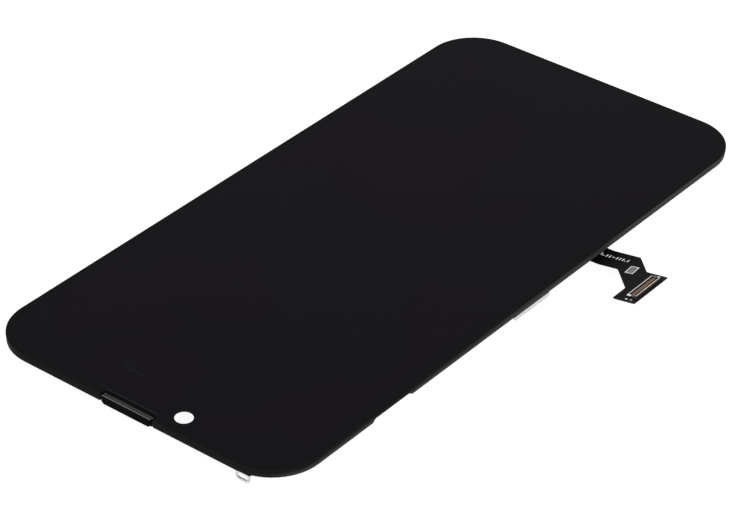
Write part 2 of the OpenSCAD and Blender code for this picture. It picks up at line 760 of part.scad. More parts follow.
// Display flex: bond, fold round the flex end, run on the tray, step up to the lip, tail with its foot
module display_flex() {
    rise = z_ribbon - z_back;
    step = (rise - 2 * s_radius * (1 - cos(s_angle))) / sin(s_angle);
    step_run = 2 * s_radius * sin(s_angle) + step * cos(s_angle);
    x_step = -light_w / 2 - sheet_gap;
    tangent = tail_r * tan(tail_angle / 2);
    flat = glass_w / 2 + tail_start - tangent + x_step - step_run;
    color([0.1, 0.1, 0.1]) {
        translate([-bond_w / 2, fold_y - eps, z_cf]) cube([bond_w, bond_lap, flex_t]);
        translate([0, fold_y, z_tray - flex_t + fold_r]) rotate([0, 90, 0]) rotate([0, 0, 180])
            translate([0, 0, -bond_w / 2]) fold_ring();
        translate([0, 0, z_tray - flex_t]) linear_extrude(flex_t) back_flex2d(x_step);
        translate([x_step, ribbon_y, z_back]) rotate([0, 0, 180])
            bend(s_radius, s_angle, 1) run(step) bend(s_radius, s_angle, -1) run(flat)
                bend(tail_r, tail_angle, 1);
        on_tail() translate([0, 0, -flex_t / 2]) linear_extrude(flex_t) tail2d(tangent - eps);
    }
}

// Half ring of the fold, open to +Y
module fold_ring() {
    difference() {
        cylinder(r = fold_r, h = bond_w);
        translate([0, 0, -bond_w]) cylinder(r = fold_r - flex_t, h = 3 * bond_w);
        translate([-2 * fold_r, -2 * fold_r, -bond_w]) cube([4 * fold_r, 2 * fold_r, 3 * bond_w]);
    }
}

// Places what is drawn round the middle of the connector, on the upper side of the foot
module on_foot() {
    on_tail() translate([foot_x1 - conn_edge, (foot_y0 + foot_y1) / 2, flex_t / 2]) children();
}

module foot_stiffener() {
    m = stiffener_inset;
    color([0.7, 0.7, 0.68]) on_tail() translate([0, 0, -flex_t / 2 - stiffener_t]) linear_extrude(stiffener_t)
        plate2d(foot_x0 + m, foot_y0 + m, foot_x1 - m, foot_y1 - m, 2 * m);
}

// Places one copy for each contact of a row
module each_contact() {
    for (i = [0:contact_count - 1])
        translate([0, (i - (contact_count - 1) / 2) * contact_pitch, 0]) children();
}

// Connector housing: frame and centre island, standing on the tails of the contacts
module connector_housing() {
    open_x = conn_w / 2 - conn_wall;
    open_l = conn_l - 2 * conn_end;
    slot_x = conn_island / 2;
    color([0.07, 0.07, 0.07]) on_foot() difference() {
        translate([-conn_w / 2, -conn_l / 2, contact_t]) cube([conn_w, conn_l, conn_h - shell_t - contact_t]);
        translate([-open_x, -open_l / 2, conn_h - 2 * shell_t]) cube([2 * open_x, open_l, conn_h]);
        for (s = [0, 1])
            mirror([s, 0, 0]) translate([slot_x, -open_l / 2, 0]) cube([open_x - slot_x, open_l, conn_h]);
    }
}

// Plated shell on top of the housing: thin sides, wide ends with solder feet
module connector_shell() {
    x = conn_w / 2 - shell_inset;
    color([0.82, 0.82, 0.8]) on_foot() {
        translate([0, 0, conn_h - shell_t]) linear_extrude(shell_t) difference() {
            plate2d(-x, -conn_l / 2, x, conn_l / 2, 2 * shell_t);
            square([2 * (x - shell_strip), conn_l - 2 * conn_end], center = true);
        }
        for (s = [0, 1], x = [-1, 1] * 1.5 * shell_foot)
            mirror([0, s, 0]) translate([x - shell_foot / 2, conn_l / 2, 0]) {
                cube([shell_foot, shell_t, conn_h]);
                cube([shell_foot, shell_foot, shell_t]);
            }
    }
}

// One row of contacts, lapped over the island; s is the side of the island
module contact_row(s) {
    island_x = conn_island / 2 + eps;
    wall_x = conn_w / 2 - conn_wall - contact_t - eps;
    island_z = conn_h - 2 * shell_t;
    color([0.78, 0.6, 0.36]) on_foot() mirror([s < 0 ? 1 : 0, 0, 0]) each_contact()
        translate([0, -contact_wire / 2, 0]) {
            translate([island_x, 0, 0]) cube([conn_w / 2 + contact_tail - island_x, contact_wire, contact_t]);
            translate([island_x, 0, 0]) cube([contact_t, contact_wire, island_z + contact_t]);
            translate([island_x - contact_lap, 0, island_z]) cube([contact_lap + contact_t, contact_wire, contact_t]);
            translate([wall_x, 0, 0]) cube([contact_t, contact_wire, island_z]);
        }
}

module contacts_inner() {
    contact_row(-1);
}

module contacts_outer() {
    contact_row(1);
}

cover_glass();
clear_adhesive();
front_polariser();
colour_filter_glass();
tft_glass();
rear_polariser();
driver_chip();
rim_tape();
upper_prism_film();
lower_prism_film();
diffuser_film();
light_guide();
reflector_film();
light_frame();
led_strip();
leds();
backlight_tray();
glass_bead();
bezel_frame();
earpiece_mesh();
dust_felt();
rear_plate();
rear_foam();
graphite_film();
latch_loop();
latch_plate_left();
latch_plate_right();
screw_tab_left();
screw_tab_right();
display_flex();
foot_stiffener();
connector_housing();
connector_shell();
contacts_inner();
contacts_outer();
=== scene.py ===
"""Looks of the phone LCD screen assembly: finishes, print and solder, floor, lights and camera."""
import json
import math

import bpy
from mathutils import Matrix, Vector


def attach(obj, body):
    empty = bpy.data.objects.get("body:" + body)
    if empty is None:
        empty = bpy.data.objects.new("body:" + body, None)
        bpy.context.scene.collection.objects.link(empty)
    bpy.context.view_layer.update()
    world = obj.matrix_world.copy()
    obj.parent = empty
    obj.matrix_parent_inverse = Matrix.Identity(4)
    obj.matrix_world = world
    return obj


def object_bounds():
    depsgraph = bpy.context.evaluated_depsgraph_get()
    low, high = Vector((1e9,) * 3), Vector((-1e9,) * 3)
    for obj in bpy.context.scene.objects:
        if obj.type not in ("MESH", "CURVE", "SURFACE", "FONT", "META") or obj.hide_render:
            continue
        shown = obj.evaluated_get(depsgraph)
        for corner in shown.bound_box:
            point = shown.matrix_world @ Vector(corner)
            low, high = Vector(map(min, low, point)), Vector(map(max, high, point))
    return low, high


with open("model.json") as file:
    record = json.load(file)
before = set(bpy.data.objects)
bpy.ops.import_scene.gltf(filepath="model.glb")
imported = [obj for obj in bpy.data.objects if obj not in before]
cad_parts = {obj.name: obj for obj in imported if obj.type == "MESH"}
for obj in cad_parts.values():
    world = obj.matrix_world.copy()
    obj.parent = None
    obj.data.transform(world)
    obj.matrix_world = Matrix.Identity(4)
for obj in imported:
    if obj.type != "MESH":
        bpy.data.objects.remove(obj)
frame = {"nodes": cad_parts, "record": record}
cad_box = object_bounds()

MM = 0.001
BODY = "root"
X_AXIS = (1.0, 0.0, 0.0)
Y_AXIS = (0.0, 1.0, 0.0)
Z_AXIS = (0.0, 0.0, 1.0)

# Places and sizes of the solids, in millimetres, and the tail's slope, as in the CAD source
GLASS_TOP = 3.52
GLASS_HALF_WIDTH = 34.6
FLEX_THICKNESS = 0.12
RIBBON_TOP = 1.57
TAIL_START = 1.14
TAIL_BEND = 10.0
TAIL_ANGLE = math.radians(9.65)

# Clear camera window in the print of the glass: its middle and radius, how much it widens with each
# millimetre below the face, and how far its black ring and its grey halo reach, in millimetres
WINDOW_MIDDLE = (-9.855, 68.045)
WINDOW_RADIUS = 1.64
WINDOW_FLARE = 1.6
WINDOW_RING = 0.27
WINDOW_HALO = 0.7

# How fast the window's rim, its ring and its halo fade, per millimetre
RIM_FADE = 12.0
RING_FADE = 7.0
HALO_FADE = 4.0

# Faint sensor mark and the display's own area behind the glass, in millimetres
SENSOR_MARK = (6.12, 63.17)
SENSOR_HALF = (2.35, 0.38)
SENSOR_TURN = math.radians(6.4)
DISPLAY_HALF = (32.4, 69.6)
DISPLAY_CORNER = 8.0

# Print of the cover glass, seen through it, and its ground sides
DISPLAY_TONES = ((0.0072, 0.0072, 0.0089), (0.0082, 0.0058, 0.0108))
BORDER_TONE = (0.0070, 0.0067, 0.0080)
MARK_TONE = (0.0102, 0.0101, 0.0122)
NOTCH_TONE = (0.023, 0.023, 0.024)
HALO_TONE = (0.0098, 0.0098, 0.0105)
RING_TONE = (0.0003, 0.0003, 0.0003)
GROUND_TONE = (0.0148, 0.0148, 0.0151)
GROUND_ROUGHNESS = 0.45
POLISH = (0.05, 0.09)
GLASS_SPECULAR = 0.012

# Surfaces of moulded and of rolled parts: depth of the bumps in millimetres, how much the lighter edge,
# partly wear and partly painted sheen, and the clouds show, and how far the roughness swings down and up
MOULDED_DEPTH = 0.02
MOULDED_EDGE = 0.6
MOULDED_SWING = (0.06, 0.06)
ROLLED_DEPTH = 0.01
ROLLED_EDGE = 0.7
ROLLED_CLOUD = 0.35
ROLLED_SWING = (0.05, 0.08)

# Grain: how much coarser its second layer is, and how much that layer counts
COARSE_SCALE = 0.23
COARSE_SHARE = 0.35

# Ticks of the mesh: how sharp they are, and the mask half way between a tick and a gap
TICK_SHARPNESS = 1.5
TICK_MIDDLE = 0.4


# Node building

def node(tree, kind, inputs=None, **settings):
    """One shader node; inputs maps a socket's name or number to a value or to the socket that feeds it."""
    made = tree.nodes.new(kind)
    for key, value in settings.items():
        setattr(made, key, value)
    for key, value in (inputs or {}).items():
        feed(tree, made.inputs[key], value)
    return made


def feed(tree, socket, value):
    """Link the value to the socket where it is a socket itself, or else set it there."""
    if isinstance(value, bpy.types.NodeSocket):
        tree.links.new(value, socket)
    else:
        socket.default_value = value


def math_node(tree, operation, a, b=0.0, clamp=False):
    return node(tree, "ShaderNodeMath", {0: a, 1: b}, operation=operation, use_clamp=clamp).outputs[0]


def vector_node(tree, operation, *inputs, output="Vector"):
    made = node(tree, "ShaderNodeVectorMath", dict(enumerate(inputs)), operation=operation)
    return made.outputs[output]


def mix_colour(tree, factor, a, b):
    """Mix two colours, each a socket or red, green and blue."""
    a, b = ((*colour, 1.0) if isinstance(colour, tuple) else colour for colour in (a, b))
    return node(tree, "ShaderNodeMix", {0: factor, 6: a, 7: b}, data_type="RGBA").outputs[2]


def mix_value(tree, factor, a, b):
    return node(tree, "ShaderNodeMix", {0: factor, 2: a, 3: b}, data_type="FLOAT").outputs[0]


def group(name, inputs, outputs):
    """New shader node group; inputs maps a name to its default, outputs maps a name to its socket kind."""
    tree = bpy.data.node_groups.new(name, "ShaderNodeTree")
    for label, value in inputs.items():
        kind = "NodeSocketVector" if isinstance(value, tuple) else "NodeSocketFloat"
        tree.interface.new_socket(label, in_out="INPUT", socket_type=kind).default_value = value
    for label, kind in outputs.items():
        tree.interface.new_socket(label, in_out="OUTPUT", socket_type=kind)
    return tree, tree.nodes.new("NodeGroupInput").outputs, tree.nodes.new("NodeGroupOutput").inputs


def place(tree, made, **inputs):
    """Put a node group into a material with its own values and return its outputs."""
    placed = node(tree, "ShaderNodeGroup", node_tree=made)
    for label, value in inputs.items():
        feed(tree, placed.inputs[label.capitalize()], value)
    return placed.outputs


def millimetres(tree):
    """The object's own coordinates, in millimetres."""
    metres = node(tree, "ShaderNodeTexCoord").outputs["Object"]
    return node(tree, "ShaderNodeVectorMath", {0: metres, "Scale": 1 / MM}, operation="SCALE").outputs[0]


def noise(tree, where, scale, detail=3.0, roughness=0.5):
    settings = {"Vector": where, "Scale": scale, "Detail": detail, "Roughness": roughness}
    return node(tree, "ShaderNodeTexNoise", settings).outputs["Fac"]


def stretched(tree, value, contrast):
    """The value's distance from 0.5 times the contrast, round 0.5 again and kept between 0 and 1."""
    apart = math_node(tree, "MULTIPLY", math_node(tree, "SUBTRACT", value, 0.5), contrast)
    return math_node(tree, "ADD", apart, 0.5, clamp=True)


# Effects shared by the materials

def make_grain():
    """Fine moulded or rolled grain: a height for a bump and a tone round 0.5."""
    tree, given, out = group("fine grain", {"Scale": 8.0, "Contrast": 1.0},
                             {"Height": "NodeSocketFloat", "Tone": "NodeSocketFloat"})
    where = millimetres(tree)
    coarse_scale = math_node(tree, "MULTIPLY", given["Scale"], COARSE_SCALE)
    fine = noise(tree, where, given["Scale"], detail=4.0, roughness=0.6)
    coarse = noise(tree, where, coarse_scale, detail=2.0)
    height = mix_value(tree, COARSE_SHARE, fine, coarse)
    tree.links.new(height, out["Height"])
    tree.links.new(stretched(tree, height, given["Contrast"]), out["Tone"])
    return tree


def make_patches():
    """Slow cloudy variation over a surface, from 0 to 1."""
    tree, given, out = group("cloudy patches", {"Scale": 0.05, "Sharpness": 2.0},
                             {"Mask": "NodeSocketFloat"})
    cloud = noise(tree, millimetres(tree), given["Scale"], roughness=0.55)
    tree.links.new(stretched(tree, cloud, given["Sharpness"]), out["Mask"])
    return tree


def make_brushed():
    """Rolling or brushing marks that run along one direction."""
    tree, given, out = group("brushed marks", {"Stretch": (0.3, 12.0, 12.0), "Contrast": 1.0},
                             {"Height": "NodeSocketFloat", "Tone": "NodeSocketFloat"})
    where = vector_node(tree, "MULTIPLY", millimetres(tree), given["Stretch"])
    height = noise(tree, where, 1.0, detail=5.0, roughness=0.65)
    tree.links.new(height, out["Height"])
    tree.links.new(stretched(tree, height, given["Contrast"]), out["Tone"])
    return tree


def make_soft_edge():
    """Edges rounded by a small radius, and a mask of where the edges are."""
    tree, given, out = group("soft edge", {"Radius": 0.08, "Gain": 3.0},
                             {"Normal": "NodeSocketVector", "Mask": "NodeSocketFloat"})
    radius = math_node(tree, "MULTIPLY", given["Radius"], MM)
    rounded = node(tree, "ShaderNodeBevel", {"Radius": radius}, samples=6).outputs["Normal"]
    flat = node(tree, "ShaderNodeNewGeometry").outputs["Normal"]
    alike = vector_node(tree, "DOT_PRODUCT", rounded, flat, output="Value")
    apart = math_node(tree, "SUBTRACT", 1.0, alike)
    tree.links.new(rounded, out["Normal"])
    tree.links.new(math_node(tree, "MULTIPLY", apart, given["Gain"], clamp=True), out["Mask"])
    return tree


def make_slot_mask():
    """1 inside a rounded slot of the XY plane, 0 outside, with a soft edge."""
    tree, given, out = group("slot mask", {"Centre": (0.0, 0.0, 0.0), "Half": (1.0, 1.0, 0.0), "Radius": 0.3,
                                           "Turn": 0.0, "Softness": 0.1}, {"Mask": "NodeSocketFloat"})
    shifted = vector_node(tree, "SUBTRACT", millimetres(tree), given["Centre"])
    turned_back = node(tree, "ShaderNodeVectorRotate", {"Vector": shifted, "Angle": given["Turn"]},
                       rotation_type="Z_AXIS").outputs[0]
    folded = vector_node(tree, "ABSOLUTE", turned_back)
    core = vector_node(tree, "SUBTRACT", given["Half"], given["Radius"])
    beyond = vector_node(tree, "SUBTRACT", folded, core)
    outside = vector_node(tree, "MAXIMUM", beyond, (0.0, 0.0, 0.0))
    planar = vector_node(tree, "MULTIPLY", outside, (1.0, 1.0, 0.0))
    length = vector_node(tree, "LENGTH", planar, output="Value")
    inside = math_node(tree, "SUBTRACT", given["Radius"], length)
    softened = math_node(tree, "DIVIDE", inside, given["Softness"])
    tree.links.new(math_node(tree, "ADD", softened, 0.5, clamp=True), out["Mask"])
    return tree


def make_ramp(name, value_of):
    """Mask that climbs from 0 at Low to 1 at High; value_of gives what is measured along the Axis input."""
    tree, given, out = group(name, {"Axis": Z_AXIS, "Low": 0.0, "High": 1.0}, {"Mask": "NodeSocketFloat"})
    span = math_node(tree, "SUBTRACT", given["High"], given["Low"])
    past = math_node(tree, "SUBTRACT", value_of(tree, given["Axis"]), given["Low"])
    tree.links.new(math_node(tree, "DIVIDE", past, span, clamp=True), out["Mask"])
    return tree


def facing_value(tree, axis):
    """How squarely a face looks along the axis, either way."""
    normal = node(tree, "ShaderNodeNewGeometry").outputs["Normal"]
    return math_node(tree, "ABSOLUTE", vector_node(tree, "DOT_PRODUCT", normal, axis, output="Value"))


def place_value(tree, axis):
    """How far along the axis a point lies, in millimetres."""
    return vector_node(tree, "DOT_PRODUCT", millimetres(tree), axis, output="Value")


def make_ticks():
    """Slanting ticks, one every Pitch millimetres along X: 1 on a tick and 0 beside it."""
    tree, given, out = group("ticks", {"Pitch": 0.46, "Slant": 0.5}, {"Mask": "NodeSocketFloat"})
    where = node(tree, "ShaderNodeSeparateXYZ", {0: millimetres(tree)}).outputs
    slanted = math_node(tree, "ADD", where[0], math_node(tree, "MULTIPLY", where[1], given["Slant"]))
    turns = math_node(tree, "MULTIPLY", math_node(tree, "DIVIDE", slanted, given["Pitch"]), math.tau)
    wave = math_node(tree, "MULTIPLY", math_node(tree, "SINE", turns), TICK_SHARPNESS)
    tree.links.new(math_node(tree, "ADD", wave, TICK_MIDDLE, clamp=True), out["Mask"])
    return tree


GRAIN = make_grain()
PATCHES = make_patches()
BRUSHED = make_brushed()
SOFT_EDGE = make_soft_edge()
SLOT_MASK = make_slot_mask()
FACING = make_ramp("facing", facing_value)
ALONG = make_ramp("along", place_value)
TICKS = make_ticks()


# Materials

def shader(name):
    """New material with its node tree and its Principled BSDF."""
    material = bpy.data.materials.new(name)
    material.use_nodes = True
    tree = material.node_tree
    return material, tree, tree.nodes["Principled BSDF"]


def connect(tree, bsdf, **sockets):
    for label, value in sockets.items():
        tree.links.new(value, bsdf.inputs[label.replace("_", " ")])


def covered(tree, body, layers):
    """The body colour under some layers; each is a colour and the masks that together say where it lies."""
    for colour, places in layers:
        cover = 1.0
        for made, inputs in places:
            cover = math_node(tree, "MULTIPLY", place(tree, made, **inputs)["Mask"], cover)
        body = mix_colour(tree, cover, body, colour)
    return body


def shade(colour, factor):
    return tuple(min(1.0, part * factor) for part in colour)


def swinging(tree, tone, roughness, swing):
    """Roughness that swings down and up with the tone, by the two amounts of the swing."""
    return mix_value(tree, tone, roughness - swing[0], min(1.0, roughness + swing[1]))


def grained(tree, marks, edge, bump, depth):
    """Normal of a surface with soft edges and with the marks as a bump of the given depth."""
    return node(tree, "ShaderNodeBump", {"Height": marks["Height"], "Strength": bump, "Distance": depth * MM,
                                         "Normal": edge["Normal"]}).outputs[0]


def plastic(name, colour, roughness=0.5, specular=0.4, grain=9.0, bump=0.15, spread=0.25,
            edge_light=1.4, edge_radius=0.08, layers=()):
    """Moulded plastic, rubber, foam, film or ink: grain, cloudy tone, edges lighter by wear and painted
    sheen, layers on top, most of which paint light or shade.
    """
    material, tree, bsdf = shader(name)
    bsdf.inputs["Specular IOR Level"].default_value = specular
    fine = place(tree, GRAIN, scale=grain)
    cloud = place(tree, PATCHES, scale=0.08)["Mask"]
    edge = place(tree, SOFT_EDGE, radius=edge_radius)
    at_edge = math_node(tree, "MULTIPLY", edge["Mask"], MOULDED_EDGE)
    body = mix_colour(tree, fine["Tone"], shade(colour, 1 - spread), shade(colour, 1 + spread))
    body = mix_colour(tree, cloud, body, shade(colour, 1 + spread / 2))
    body = mix_colour(tree, at_edge, body, shade(colour, edge_light))
    body = covered(tree, body, layers)
    rough = swinging(tree, fine["Tone"], roughness, MOULDED_SWING)
    normal = grained(tree, fine, edge, bump, MOULDED_DEPTH)
    connect(tree, bsdf, Base_Color=body, Roughness=rough, Normal=normal)
    return material


def metal(name, colour, roughness=0.35, stretch=(0.3, 12.0, 12.0), bump=0.1, spread=0.12,
          edge_light=1.15, edge_radius=0.06, layers=()):
    """Rolled or plated sheet metal: brushing marks, cloudy tone, edges brighter by wear and painted
    highlight, layers on top, which paint light and shade.
    """
    material, tree, bsdf = shader(name)
    bsdf.inputs["Metallic"].default_value = 1.0
    marks = place(tree, BRUSHED, stretch=stretch)
    cloud = math_node(tree, "MULTIPLY", place(tree, PATCHES, scale=0.06)["Mask"], ROLLED_CLOUD)
    edge = place(tree, SOFT_EDGE, radius=edge_radius)
    at_edge = math_node(tree, "MULTIPLY", edge["Mask"], ROLLED_EDGE)
    body = mix_colour(tree, marks["Tone"], shade(colour, 1 - spread), shade(colour, 1 + spread))
    body = mix_colour(tree, cloud, body, shade(colour, 1 - spread))
    body = mix_colour(tree, at_edge, body, shade(colour, edge_light))
    body = covered(tree, body, layers)
    rough = swinging(tree, marks["Tone"], roughness, ROLLED_SWING)
    normal = grained(tree, marks, edge, bump, ROLLED_DEPTH)
    connect(tree, bsdf, Base_Color=body, Roughness=rough, Normal=normal)
    return material


def clear_sheet(name, colour, alpha, roughness=0.15):
    """Thin clear sheet, drawn as a tinted, partly see-through surface."""
    material, tree, bsdf = shader(name)
    fine = place(tree, GRAIN, scale=3.0)["Tone"]
    cloud = place(tree, PATCHES, scale=0.04)["Mask"]
    body = mix_colour(tree, cloud, shade(colour, 0.94), colour)
    rough = mix_value(tree, fine, roughness, roughness + 0.1)
    see = mix_value(tree, cloud, alpha, alpha + 0.05)
    connect(tree, bsdf, Base_Color=body, Roughness=rough, Alpha=see)
    return material


def slot_at(x, y, half_x, half_y, radius=0.1, softness=0.1):
    """Where a layer lies: in a rounded slot seen from above, in millimetres."""
    return SLOT_MASK, {"centre": (x, y, 0.0), "half": (half_x, half_y, 0.0), "radius": radius,
                       "softness": softness}


def along(axis, low, high):
    """Where a layer lies: from none at low to all of it at high along the axis, in millimetres."""
    return ALONG, {"axis": axis, "low": low, "high": high}


# Sides and ends of the whole assembly: masks by facing and by place, with which the layers below paint light
# and shade
LONG_SIDE = (FACING, {"axis": X_AXIS, "low": 0.55, "high": 0.95})
LOOKING_UP = (FACING, {"axis": Z_AXIS, "low": 0.6, "high": 0.9})
TOWARDS_FLEX_END = along(Y_AXIS, 30.0, -40.0)

# Earpiece: its rim in the glass, its wall and crest on the bezel, its mesh
NOTCH_RIM = slot_at(0.0, 72.0, 6.0, 1.85, radius=0.8, softness=0.08)
# the earpiece wall, where the bezel gets painted shade, and its crest, where it gets a painted highlight
EAR_WALL = slot_at(0.0, 72.0, 5.75, 0.5, radius=0.05, softness=0.05)
EAR_CREST = slot_at(0.0, 72.0, 5.75, 0.13, radius=0.05, softness=0.05)
MESH_ROW = slot_at(0.0, 71.4, 5.5, 0.28, radius=0.05)
MESH_BAND = along(Y_AXIS, 71.0, 71.15)

# Connector on the foot of the flex
SHELL_SIDES = slot_at(-48.68, -14.87, 1.5, 3.84)
SHELL_CORNER = slot_at(-48.1, -10.82, 0.55, 0.26)
SHELL_TIP = slot_at(-49.3, -18.95, 0.22, 0.14)
CONTACT_MIDDLE = slot_at(-48.68, -14.87, 1.02, 4.2, radius=0.05, softness=0.05)
# Tin's lit colour, laid on the shell's sides, corner and tip; elsewhere the tin keeps a dark base colour
# that is painted shade
TIN_BRIGHT = (0.82, 0.79, 0.76)

# Layers over the finishes: each a colour and where it lies; most of them paint light or shade on a single
# material, as said at each
GLASS_SIDE_PAINTED_LIGHT = [
    # painted shade: the glass's long sides darker than its short ends
    ((0.0082, 0.0082, 0.0084), [LONG_SIDE]),
    # painted light: the lower part of the long sides lighter
    ((0.015, 0.015, 0.0152), [LONG_SIDE, along(Z_AXIS, 3.3, 2.9)]),
    # painted highlight: the long sides bright low down towards the flex end
    ((0.062, 0.062, 0.062), [LONG_SIDE, TOWARDS_FLEX_END, along(Z_AXIS, 3.4, 3.0)]),
]
BEZEL_PAINTED_LIGHT_AND_SHADE = [
    # painted light: the bezel's long sides lighter than its short ends
    ((0.021, 0.021, 0.0212), [LONG_SIDE]),
    # painted highlight: a bright band low on the long lip
    ((0.058, 0.058, 0.058), [LONG_SIDE, along(Z_AXIS, 2.55, 2.1)]),
    # painted light: the long sides lighter towards the flex end
    ((0.05, 0.05, 0.05), [LONG_SIDE, TOWARDS_FLEX_END]),
    # painted shade: the earpiece wall darker than the rest of the bezel
    ((0.0022, 0.0022, 0.0024), [EAR_WALL]),
    # painted highlight: the upward-facing crest of the earpiece wall light grey
    ((0.17, 0.17, 0.17), [EAR_CREST, LOOKING_UP]),
]
MESH_PAINTED_LIGHT_AND_HOLES = [
    # painted light: the band of the mesh out from under the glass lighter; the part under the glass keeps
    # the dark base colour as painted shade
    ((0.056, 0.056, 0.058), [MESH_BAND]),
    # dark slanting ticks painted for the mesh's holes, in its lit band
    ((0.005, 0.005, 0.0055), [MESH_ROW, (TICKS, {})]),
]
LATCH_PAINTED_SHADE = [
    # painted shade, tinted pink: the lower part of the latch's long-side faces darker
    ((0.56, 0.53, 0.54), [along(Z_AXIS, 1.3, 1.15), LONG_SIDE]),
]
FLEX_PAINTED_LIGHT_AND_SHADE = [
    # painted shade: the ribbon darker near the bezel's lip
    ((0.0026, 0.0024, 0.0023), [along(X_AXIS, -45.0, -38.0)]),
    # the foot lighter and brownish: partly the flex's own tone, partly painted light
    ((0.019, 0.016, 0.0155), [along(X_AXIS, -46.5, -50.0)]),
]
SHELL_LIT_STRIPS = [(TIN_BRIGHT, [part]) for part in (SHELL_SIDES, SHELL_CORNER, SHELL_TIP)]
CONTACT_LIT_STRIPE = [
    # lit stripe of gold along the contacts' middle; the rest keeps a dark base colour that is painted shade
    ((0.46, 0.33, 0.23), [CONTACT_MIDDLE]),
]


def past_window(tree):
    """How far a point of the glass lies outside the camera window, which widens below the upper face."""
    where = node(tree, "ShaderNodeSeparateXYZ", {0: millimetres(tree)}).outputs
    x, y = (math_node(tree, "SUBTRACT", where[axis], WINDOW_MIDDLE[axis]) for axis in (0, 1))
    squares = math_node(tree, "ADD", math_node(tree, "MULTIPLY", x, x), math_node(tree, "MULTIPLY", y, y))
    across = math_node(tree, "SQRT", squares)
    depth = math_node(tree, "SUBTRACT", GLASS_TOP, where[2])
    flare = math_node(tree, "MULTIPLY", depth, WINDOW_FLARE)
    return math_node(tree, "SUBTRACT", math_node(tree, "SUBTRACT", across, flare), WINDOW_RADIUS)


def glass_face(tree, past):
    """Colour of the print seen through the glass: display, border, sensor mark, notch rim, halo and ring."""
    mark = place(tree, SLOT_MASK, centre=(*SENSOR_MARK, 0.0), half=(*SENSOR_HALF, 0.0), radius=0.28,
                 turn=SENSOR_TURN, softness=0.5)["Mask"]
    display = place(tree, SLOT_MASK, half=(*DISPLAY_HALF, 0.0), radius=DISPLAY_CORNER, softness=0.4)["Mask"]
    cloud = place(tree, PATCHES, scale=0.022, sharpness=2.5)["Mask"]
    in_halo = math_node(tree, "SUBTRACT", WINDOW_HALO, past)
    halo = math_node(tree, "MULTIPLY", in_halo, HALO_FADE, clamp=True)
    past_ring = math_node(tree, "SUBTRACT", past, WINDOW_RING)
    beyond_ring = math_node(tree, "MULTIPLY", past_ring, RING_FADE, clamp=True)
    face = mix_colour(tree, display, BORDER_TONE, mix_colour(tree, cloud, *DISPLAY_TONES))
    face = mix_colour(tree, mark, face, MARK_TONE)
    face = covered(tree, face, [(NOTCH_TONE, [NOTCH_RIM])])
    face = mix_colour(tree, halo, face, HALO_TONE)
    return mix_colour(tree, beyond_ring, RING_TONE, face)


def black_glass():
    """Polished cover glass over its black print, clear at the camera window, with satin ground sides that
    carry painted light and shade on the long sides.
    """
    material, tree, bsdf = shader("black cover glass")
    bsdf.inputs["Specular IOR Level"].default_value = GLASS_SPECULAR
    past = past_window(tree)
    upwards = place(tree, FACING, low=0.5, high=0.95)["Mask"]
    polish = mix_value(tree, place(tree, GRAIN, scale=1.5)["Tone"], *POLISH)
    # the ground tone of the sides, with painted light and shade laid over it
    side = covered(tree, GROUND_TONE, GLASS_SIDE_PAINTED_LIGHT)
    body = mix_colour(tree, upwards, side, glass_face(tree, past))
    rough = mix_value(tree, upwards, GROUND_ROUGHNESS, polish)
    print_there = math_node(tree, "MULTIPLY", past, RIM_FADE, clamp=True)
    connect(tree, bsdf, Base_Color=body, Roughness=rough, Alpha=print_there)
    return material


